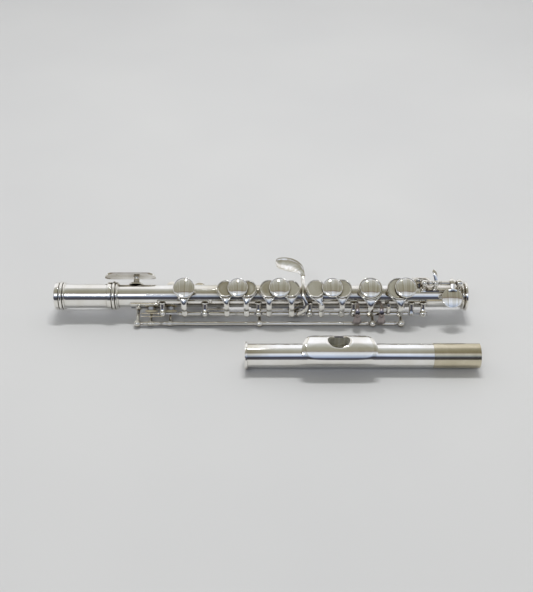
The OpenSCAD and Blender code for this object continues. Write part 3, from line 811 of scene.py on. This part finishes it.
# The spoon from its tip to where the lever takes over: (place, half width, hollow). Places are measured
# from the tip, the middle of the width and SPOON_DROP below the highest point
SPOON_SKIN = [((0.0, 0.7, 0.8), 1.5, 0.2), ((0.3, 0.75, 0.75), 2.5, 0.5), ((1.1, 0.75, 0.7), 3.3, 0.8),
              ((2.6, 0.65, 0.6), 3.95, 1.0), ((5.0, 0.4, 0.4), 4.4, 1.1), ((7.6, 0.0, 0.05), 4.45, 1.05),
              ((10.0, -0.5, -0.6), 4.0, 0.8), ((12.0, -1.2, -1.6), 3.1, 0.5),
              ((13.3, -2.0, -2.9), 2.0, 0.2), ((14.0, -2.8, -3.9), 1.35, 0.05),
              ((14.2, -4.0, -4.7), 1.05, 0.0)]
SPOON_DROP = 2.6
SPOON_FACE = Vector((0, -0.26, 0.966))
LEVER_FACE = Vector((0, 0.3, 0.95))


def spoon_place(place):
    low, high = box_mm("g_sharp_spoon")
    return Vector((low.x + place[0], (low.y + high.y) / 2 + place[1], high.z - SPOON_DROP + place[2]))


def spoon():
    stations = []
    for i, (place, half, hollow) in enumerate(SPOON_SKIN):
        lean = max(0.0, (i - 7) / 3)
        normal = SPOON_FACE * (1 - lean) + LEVER_FACE * lean
        stations.append((spoon_place(place), normal, half, hollow, 0.3 * (1 - lean), 0.75, 0.12 * lean))
    silver_piece("spoon", [strip(stations, 16, 5)], "g_sharp_action", "g_sharp_spoon", 50)


def g_sharp_lever():
    cup_x = middle_x("g_sharp_pad")
    x = cup_x + 4.6
    join = spoon_place(SPOON_SKIN[-1][0])
    path = [(join, 1.05), ((x, 0.6, 9.95), 1.0), ((x, -3.0, 8.95), 0.95), ((x, -6.2, 7.1), 0.95),
            ((x + 0.5, -8.3, 4.9), 1.0), ((x + 1.3, -9.6, 2.7), 1.05), ((x + 1.5, -10.5, 0.6), 1.1),
            ((x + 0.5, -11.0, -1.3), 1.15), ((x - 1.3, -11.1, -3.0), 1.05), ((x - 2.3, -10.7, -4.5), 0.8)]
    stations = []
    for place, half in path:
        place = Vector(place)
        outward = Vector((0, place.y + 1.5, place.z + 2.0)).normalized()
        stations.append((place, outward, half, 0.0, 0.0, 0.5, 0.4))
    shells = [strip(stations, 8, 4)]
    # The hinge tube, the arm that runs below the bore and the cup at its end
    rolled = [rod_shell(x - 3.4, x + 1.3, HINGE, HINGE_R, grooves=(0.5, 4.2))]
    rolled.append(hub_shell(x - 2.2, 1.0, HINGE, groove=0.4))
    arm_x, bend_y, bend_z, bend_r, steps = x - 2.3, -3.9, -2.9, 5.95, 6
    under = [(arm_x, -10.4, -0.9), (arm_x, -9.9, -2.6)]
    for k in range(1, steps + 1):
        a = math.radians(15 * k)
        under.append((arm_x - 1.9 * k / steps, bend_y - bend_r * math.cos(a), bend_z - bend_r * math.sin(a)))
    under.append((cup_x, -1.0, -8.9))
    before_last = len(under) - 1
    widths = [1.7] * before_last + [1.2]
    heights = [1.15] * before_last + [0.7]
    rolled.append(sweep([Vector(u) for u in under], widths, heights, (1, 0, 0), 14))
    downward = Matrix.Translation((cup_x, 0, 0)) @ Matrix.Rotation(math.pi, 4, "X")
    rolled.append(moved(cup_shell(0, 4.5), downward))
    shells += [moved(shell, ROLLED) for shell in rolled]
    silver_piece("g_sharp_lever", shells, "g_sharp_action", "g_sharp_key")


# ---- Posts and the strips that carry them ----

RIB_R = 6.05
RIB_T = 0.75
# Each strip: its ends along X from the first one's start, and its edges' angles round the tube
RIB_STRIPS = [(0, 15.3, 69, 82), (14.5, 41.9, 52, 69), (43.2, 156.8, 52, 69), (0, 8.4, 126, 140),
              (13.4, 16.2, 126, 140), (63.9, 145.9, 126, 140)]
# The angle of each row of posts, and its posts: distance from the first, and radius of the ball
ROW_POST_ANGLE = 64
ROW_POSTS = [(0, 1.85), (22.4, 1.85), (50.7, 1.85), (77.7, 1.85), (100.9, 1.85), (131.4, 1.4),
             (137.6, 1.95)]
TRILL_POST_ANGLE = 131
TRILL_POSTS = [(0, 2.0), (64.6, 2.0), (124.5, 2.0), (139.5, 2.0)]
# The screw in a ball's face, and where it looks
SCREW = [(0.25, 0), (0.62, 0), (0.62, 0.1), (0.5, 0.2), (0.32, 0.2), (0.25, 0.1)]
SCREW_LOOK = Vector((0, -0.97, 0.24))
OUTER = joint_place("d_trill_hinge")


def turned_post(x, foot_angle, rod, ball, waist=1.2, foot=1.85):
    """Turned post: flanged foot, waisted column, ball and the little screw in its face."""
    base = Vector((x, *polar(RIB_R + RIB_T - 0.35, foot_angle).yz))
    top = Vector((x, rod.y, rod.z))
    tall = (top - base).length
    profile = [(0, -0.1), (foot, -0.1), (foot, 0.5), (foot - 0.15, 0.68), (foot - 0.45, 0.8),
               (waist + 0.2, 1.15)]
    neck = tall - math.sqrt(max(ball ** 2 - (waist + 0.1) ** 2, 0.01))
    middle = (1.3 + neck) / 2
    profile += [(waist, middle), (waist + 0.1, neck)]
    start = math.asin((waist + 0.1) / ball)
    for k in range(1, 11):
        a = start + (math.pi - start) * k / 10
        profile.append((ball * math.sin(a) if k < 10 else 0, tall - ball * math.cos(a)))
    turn = (top - base).to_track_quat("Z", "Y").to_matrix().to_4x4()
    shells = [moved(lathe(profile, 32), Matrix.Translation(base) @ turn)]
    face = Matrix.Translation(top + SCREW_LOOK * (ball - 0.12))
    face @= SCREW_LOOK.to_track_quat("Z", "Y").to_matrix().to_4x4()
    shells.append(moved(lathe(SCREW, 20, closed=True), face))
    return shells


def rib_shell(x0, x1, a0, a1):
    """A soldered strip along the tube, its long edges eased."""
    rows = []
    for x, drop in ((x0, 0.3), (x0 + 0.25, 0.0), (x1 - 0.25, 0.0), (x1, 0.3)):
        row = []
        for k in range(13):
            a = a0 + (a1 - a0) * k / 12
            edge = 0.28 if k in (0, 12) else 0.05 if k in (1, 11) else 0.0
            row.append((polar(RIB_R + RIB_T - max(drop, edge), a, x), polar(RIB_R - 0.05, a, x)))
        rows.append(row)
    return slab(rows)


def post_row(name, node, first, posts, angle, rod, waist):
    shells = []
    for along, ball in posts:
        shells += turned_post(first + along, angle, rod, ball, waist)
    silver_piece(name, shells, "body_joint", node)


def posts_and_ribs():
    start = box_mm("ribs")[0].x
    ribs = [rib_shell(start + x0, start + x1, a0, a1) for x0, x1, a0, a1 in RIB_STRIPS]
    silver_piece("rib_strips", ribs, "body_joint", "ribs", 30)
    first = box_mm("main_posts")[0].x + 1.85
    post_row("row_posts", "main_posts", first, ROW_POSTS, ROW_POST_ANGLE, ROD, 1.2)
    first = box_mm("outer_posts")[0].x + 2.0
    post_row("trill_posts", "outer_posts", first, TRILL_POSTS, TRILL_POST_ANGLE, OUTER, 0.85)


# ---- Trill keys on the outer rod ----

TRILL_ANGLE = 121
# A touch seen along X, before ROLLED turns it: its arc's centre, radius and end angles, and its half width
# at shares of its length
TOUCH_CENTRE = (-8.98, -0.02)
TOUCH_R = 6.73
TOUCH_START = 86.8
TOUCH_END = 214.7
TOUCH_WIDTHS = [(0.0, 0.4), (0.08, 0.8), (0.22, 1.0), (0.38, 1.3), (0.52, 1.65), (0.64, 2.0), (0.74, 2.25),
                (0.81, 2.45), (0.83, 2.42), (0.88, 1.75), (0.94, 0.95), (1.0, 0.2)]


def trill_touch(name, x, body):
    """Teardrop touch that arches over the hinges, its lower end bent out to a blunt point."""
    stations = []
    for t, half in TOUCH_WIDTHS:
        a = math.radians(TOUCH_START + (TOUCH_END - TOUCH_START) * t)
        out = Vector((0, math.cos(a), math.sin(a)))
        bent = max(0.0, (t - 0.82) / 0.18)
        place = Vector((x, *TOUCH_CENTRE)) + out * (TOUCH_R + 0.7 * bent)
        stations.append((place, out, half, 0.0, 0.0, 0.45, 0.1 + 0.8 * min(1, half / 2.4)))
    # The touch takes the darkened copy of the silver: painted shade
    mesh_object(name, [moved(strip(stations, 12, 3), ROLLED)], SHADED_SILVER, body)


def trill_cup_shells(x):
    """A shallow cap behind a thick pad, and its stem to the outer rod."""
    cap = lathe([(0, 2.3), (0.9, 2.24), (1.8, 2.0), (2.5, 1.65), (2.65, 1.4), (2.5, 1.25), (0, 1.25)], 40)
    place = round_bore(TRILL_ANGLE, x) @ Matrix.Translation((0, 0, SEAT))
    top = polar(SEAT + 2.0, TRILL_ANGLE, x)
    foot = Vector((x, OUTER.y, OUTER.z))
    mid = (top + foot) / 2 + Vector((0, -0.5, -0.2))
    path = [top, (top + mid) / 2, mid, (mid + foot) / 2, foot]
    stem = sweep(path, [1.7, 1.5, 1.5, 1.6, 1.9], [1.0, 1.1, 1.1, 1.2, 1.4], (1, 0, 0), 14)
    return [moved(cap, place), stem]


def trill_pad_shell(x):
    edge = [(0, 0.1), (2.0, 0.06), (2.9, 0.2), (3.3, 0.45), (3.38, 0.7), (3.3, 0.95), (2.9, 1.25),
            (2.4, 1.4), (0, 1.4)]
    return moved(lathe(edge, 40), round_bore(TRILL_ANGLE, x) @ Matrix.Translation((0, 0, SEAT)))


def trill_lever(name, tubes, pad_x):
    silver_piece(name + "_lever", tubes + trill_cup_shells(pad_x), name + "_action", name + "_key")


def trill_keys():
    first = middle_x("d_trill_pad")
    second = middle_x("d_sharp_trill_pad")
    touch_x = second + 98.6
    start, end = (v.x for v in box_mm("d_trill_key"))
    trill_touch("d_trill_touch", end - 12.5, "d_trill_action")
    trill_lever("d_trill", [rod_shell(start, end, OUTER, THIN_ROD_R, THIN_ROD_HOLE),
                            rod_shell(end - 13.9, end - 4.3, OUTER, HINGE_R, grooves=(0.6, 9.0)),
                            rod_shell(first - 4.7, first + 5.5, OUTER, HINGE_R, grooves=(0.6, 9.6)),
                            hub_shell(first, 1.5, OUTER)], first)
    trill_touch("d_sharp_trill_touch", touch_x, "d_sharp_trill_action")
    grooves = (0.6, 12.0, 45.8, 48.6, 96.0, 108.5)
    trill_lever("d_sharp_trill", [rod_shell(second - 4.4, second + 104.7, OUTER, HINGE_R, grooves=grooves),
                                  hub_shell(second, 1.5, OUTER),
                                  hub_shell(touch_x, 1.6, OUTER, 1.35)], second)
    for name, x in (("d_trill", first), ("d_sharp_trill", second)):
        pad = [trill_pad_shell(x)]
        mesh_object(name + "_skin", pad, PAD, name + "_action", (name + "_pad",))


# ---- D sharp key at the foot ----


def d_sharp_lever(rod, cup, end, touch_x):
    """The hinge tube, the cup and its arm, a small tab and the arm that carries the touch."""
    angle = -math.degrees(math.atan2(cup.y, cup.z)) - ROLL
    hinge = cup.x + 4.6

    def near(x, y, z):
        return Vector((hinge + x, rod.y + y, rod.z + z))

    shells = [rod_shell(cup.x + 0.1, end, rod, THIN_ROD_R, THIN_ROD_HOLE),
              rod_shell(cup.x + 9.6, end - 3.7, rod, 1.2, grooves=(0.6, 7.2)),
              hub_shell(hinge, 1.1, rod, 1.45, 0.4),
              moved(cup_shell(0, 4.3), round_bore(angle, cup.x))]
    # Arm from the cup's back to the hinge
    path = smooth_path([polar(SEAT + 2.3, angle, cup.x), polar(SEAT + 2.9, angle + 14, cup.x + 2.4),
                        polar(SEAT + 3.6, angle + 26, cup.x + 3.9), near(0, 0.8, 0.2)])
    shells.append(sweep(path, [1.5] * 13, [0.7] * 4 + [1.0] * 5 + [1.3] * 4, (1, 0, 0), 14))
    # Small tab that leans back over the middle post, and its root on the hinge
    tab = [((2.9, -0.4, 0.7), 0.8), ((2.7, 0.8, 2.6), 0.9), ((2.3, 2.1, 4.3), 1.05), ((1.9, 3.3, 5.3), 1.0),
           ((1.7, 4.0, 5.7), 0.55)]
    shells.append(strip([(near(*p), (0, -0.8, 0.6), w, 0.0, 0.0, 0.45, 0.35) for p, w in tab], 8, 3))
    root = [near(0, 0, 0), near(1.6, 0, 0.6), near(2.9, -0.4, 0.8)]
    shells.append(sweep(root, [1.2] * 3, [1.1, 1.1, 1.0], (0, 1, 0), 12))
    # Arm that curls over the hinge down to the touch: angle, distance from the bore's axis, half width
    over = [(-19, 11.9, 0.45), (-14, 12.8, 1.0), (-7, 13.4, 1.2), (0, 13.3, 1.1), (6, 12.8, 1.05),
            (11, 12.4, 1.35), (15, 12.2, 1.9), (19, 11.9, 2.3)]
    arm = []
    for a, reach, half in over:
        spot = polar(reach, a, touch_x - 0.7)
        arm.append((spot, Vector((0, spot.y, spot.z)), half, 0.0, 0.0, 0.6, 0.35))
    shells.append(strip(arm, 10, 3))
    silver_piece("d_sharp_arm_and_cup", shells, "d_sharp_action", "d_sharp_key")


def d_sharp_button(touch_x):
    """The domed round touch, tilted towards the viewer."""
    disc = lathe([(0, 1.28), (2.0, 1.18), (3.6, 0.95), (4.8, 0.68), (5.05, 0.6), (5.2, 0.62), (5.33, 0.55),
                  (5.4, 0.4), (5.38, 0.2), (5.2, 0.05), (4.9, 0), (0, 0)], 64)
    middle = polar(11.35, 37, touch_x - 1.0)
    place = Matrix.Translation(middle) @ Matrix.Rotation(math.radians(ROLL + 18), 4, "X")
    silver_piece("d_sharp_button", [moved(disc, place)], "d_sharp_action", "d_sharp_touch")


def foot_key_posts(rod, cup_x, end):
    """Three posts on a curved saddle with eased edges."""
    angle, half_arc, long, along, around = -5, 17, 21.2, 14, 8
    posts = []
    for x, ball in ((cup_x + 1.6, 1.75), (cup_x + 7.6, 1.75), (end - 1.3, 2.1)):
        posts += turned_post(x, angle, rod, ball, 0.95, 1.5)
    saddle = []
    for k in range(along + 1):
        x = cup_x + 0.1 + long * k / along
        inset = 0.35 if k in (0, along) else 0.0
        row = []
        for m in range(around + 1):
            a = angle - half_arc + 2 * half_arc * m / around
            edge = 0.3 if m in (0, around) else 0.0
            row.append((polar(6.85 - max(edge, inset), a, x), polar(5.95, a, x)))
        saddle.append(row)
    silver_piece("foot_key_posts", posts + [slab(saddle)], "body_joint", "d_sharp_posts", 35)


def d_sharp_parts():
    rod = joint_place("d_sharp_hinge")
    low, high = box_mm("d_sharp_pad")
    cup = (low + high) / 2
    end = box_mm("d_sharp_key")[1].x
    touch_x = middle_x("d_sharp_touch")
    d_sharp_lever(rod, cup, end, touch_x)
    d_sharp_button(touch_x)
    foot_key_posts(rod, cup.x, end)


# ---- Receiver, foot ring and the left hand's rest ----


def bead_profile(x, middle, r, steps=10):
    """Half round bead, as (radius, x)."""
    turns = [math.pi * k / steps for k in range(steps + 1)]
    return [(middle + r * math.sin(a), x - r * math.cos(a)) for a in turns]


def end_rings(x):
    """A flat ring with eased edges, a bead and a finer bead, with deep grooves between them."""
    profile = [(7.0, x), (7.22, x + 0.08), (7.33, x + 0.3), (7.35, x + 0.9), (7.35, x + 1.9),
               (7.28, x + 2.2), (7.05, x + 2.38), (6.75, x + 2.45)]
    profile += bead_profile(x + 3.4, 7.0, 0.84) + [(6.8, x + 4.32)]
    profile += bead_profile(x + 4.9, 6.9, 0.52)
    return profile + [(6.75, x + 5.5), (6.62, x + 5.85)]


def tube_ends():
    low, high = box_mm("receiver")
    length = high.x - low.x
    # The barrel's outside, the socket and its depth, the seat on the body tube, and the second rings' start
    barrel, socket, depth, seat, second = 6.5, 6.24, 26.0, 6.06, length - 6.1
    profile = [(socket, 0), (6.7, 0)] + end_rings(0)
    profile += [(barrel, 6.0), (barrel, second - 0.1), (6.7, second)] + end_rings(second)
    profile += [(6.4, length), (seat, length), (seat, depth), (socket, depth)]
    shell = moved(lathe(profile, 96, closed=True), along_x(low.x))
    silver_piece("receiver_barrel", [shell], "body_joint", "receiver", 35)

    low, high = box_mm("foot_ring")
    length = high.x - low.x
    profile = [(5.52, 0), (6.2, 0), (6.45, 0.12)] + bead_profile(0.8, 6.5, 0.55)
    profile += [(6.45, 1.5), (6.45, 1.72), (7.3, 1.85), (7.7, 2.1), (7.83, 2.5), (7.75, 3.0),
                (7.45, length - 0.1), (7.2, length), (5.9, length), (5.52, length - 0.3)]
    shell = moved(lathe(profile, 96, closed=True), along_x(low.x))
    silver_piece("foot_end_ring", [shell], "body_joint", "foot_ring", 35)


def left_hand_rest():
    """A dished plate with round ends and a beaded edge, on its post."""
    low, high = box_mm("left_hand_rest")
    middle, half_long = (low.x + high.x) / 2, (high.x - low.x) / 2
    angle, stand, half_wide = -76, 10.75, 4.58
    rows = []
    for i in range(41):
        along = half_long * math.sin(math.pi / 2 * (-1 + 2 * i / 40))
        reach = max(0.0, abs(along) - (half_long - half_wide))
        w = math.sqrt(max(half_wide ** 2 - reach ** 2, 0.09))
        droop = 0.15 * (abs(along) / half_long) ** 4
        row = []
        for k in range(13):
            v = -1 + 2 * k / 12
            cup = 0.52 * (v * w / half_wide) ** 2
            bead = 0.42 if k in (0, 12) else 0.0
            top = stand + 0.55 - droop + cup
            x = middle + along
            row.append(((x, v * w, top), (x, v * w * 0.98, top - 0.55 - bead)))
        rows.append(row)
    place = Matrix.Rotation(math.radians(ROLL + angle), 4, "X")
    post = lathe([(0, 5.7), (4.1, 5.7), (4.1, 6.25), (3.8, 6.6), (2.7, 6.85), (2.0, 7.2), (1.65, 7.8),
                  (1.5, 8.6), (1.55, 9.8), (1.9, 10.5), (2.6, 10.9), (0, 10.95)], 40)
    shells = [moved(slab(rows), place), moved(post, place @ Matrix.Translation((middle + 3.4, 0, 0)))]
    silver_piece("hand_rest", shells, "body_joint", "left_hand_rest", 35)


# ---- Head joint: lip plate and crown ----


def head_axis():
    """The head joint's axis, as (y, z) in millimetres."""
    low, high = box_mm("tenon")
    return (low.y + high.y) / 2, (low.z + high.z) / 2


def lip_plate():
    """A plate curved round the head joint, with rounded corners and the embouchure hole."""
    low, high = box_mm("lip_plate")
    y0, z0 = head_axis()
    hole_x = middle_x("lip_riser")
    middle, half_long = (low.x + high.x) / 2, (high.x - low.x) / 2
    # The plate's radius, its lean to the front, half its width round the tube, and the hole's half length
    # and how round it is
    r, lean, half_arc = 10.0, math.radians(12), 9.8
    hole_half, hole_ratio = 5.55, 0.86
    rings, around = 12, 96

    def place(x, arc, out):
        a = arc / r
        return Vector((x, y0 - (r + out) * math.sin(a), z0 + (r + out) * math.cos(a)))

    def outline(t):
        c, q = math.cos(t), math.sin(t)
        x = math.copysign(abs(c) ** 0.4, c)
        v = math.copysign(abs(q) ** 0.4, q)
        arc = lean * r + half_arc * v
        taper = 1 - 0.15 * max(0.0, min(1.4, (23 - math.degrees(arc / r)) / 41))
        return middle + half_long * x * taper, arc

    verts, faces = [], []
    layers = []
    for ring in range(rings + 1):
        f = ring / rings
        g = f ** 1.15
        top, under = [], []
        for k in range(around):
            t = 2 * math.pi * k / around
            ox, oa = outline(t)
            hx = hole_x + hole_half * math.cos(t)
            ha = r * math.asin(hole_half * hole_ratio * math.sin(t) / r)
            x, arc = hx + (ox - hx) * g, ha + (oa - ha) * g
            ease = -0.25 * max(0.0, (f - 0.9) / 0.1) ** 2 - 0.12 * max(0.0, (0.08 - f) / 0.08)
            top.append(len(verts))
            verts.append(place(x, arc, ease))
            under.append(len(verts))
            verts.append(place(x, arc, -0.9 - ease * 0.5))
        layers.append((top, under))
    for (top_a, under_a), (top_b, under_b) in zip(layers, layers[1:]):
        for k in range(around):
            n = (k + 1) % around
            faces.append([top_a[k], top_a[n], top_b[n], top_b[k]])
            faces.append([under_a[k], under_b[k], under_b[n], under_a[n]])
    for top, under in (layers[0], layers[-1]):
        for k in range(around):
            n = (k + 1) % around
            faces.append([top[k], top[n], under[n], under[k]])
    mesh_object("lip_plate_skin", [(verts, faces)], LIP_SILVER, "head_joint",
                ("lip_plate",), 35)


def crown_cap():
    """Thin disc a little wider than the tube, and the plug that holds it in the bore."""
    low, high = box_mm("crown")
    y0, z0 = head_axis()
    depth = high.x - low.x
    # The disc's thickness, and the radii of the plug and of its threaded hole
    disc, plug, hole = depth - 6.0, 5.42, 1.6
    profile = [(0, 0), (2.5, 0.02), (4.6, 0.1), (6.2, 0.18), (6.75, 0.32), (6.97, 0.62), (6.98, disc - 0.5),
               (6.8, disc - 0.12), (6.4, disc), (plug, disc + 0.02), (plug, depth - 0.3), (5.2, depth),
               (hole, depth), (hole, disc), (0, disc)]
    shell = moved(lathe(profile, 80), along_x(low.x, y0, z0))
    mesh_object("crown_disc", [shell], LIP_SILVER, "crown_screw", ("crown",), 35)


row_keys()
finger_plates()
spoon()
g_sharp_lever()
posts_and_ribs()
trill_keys()
d_sharp_parts()
tube_ends()
left_hand_rest()
lip_plate()
crown_cap()
camera()
studio()
dress_cad_nodes()
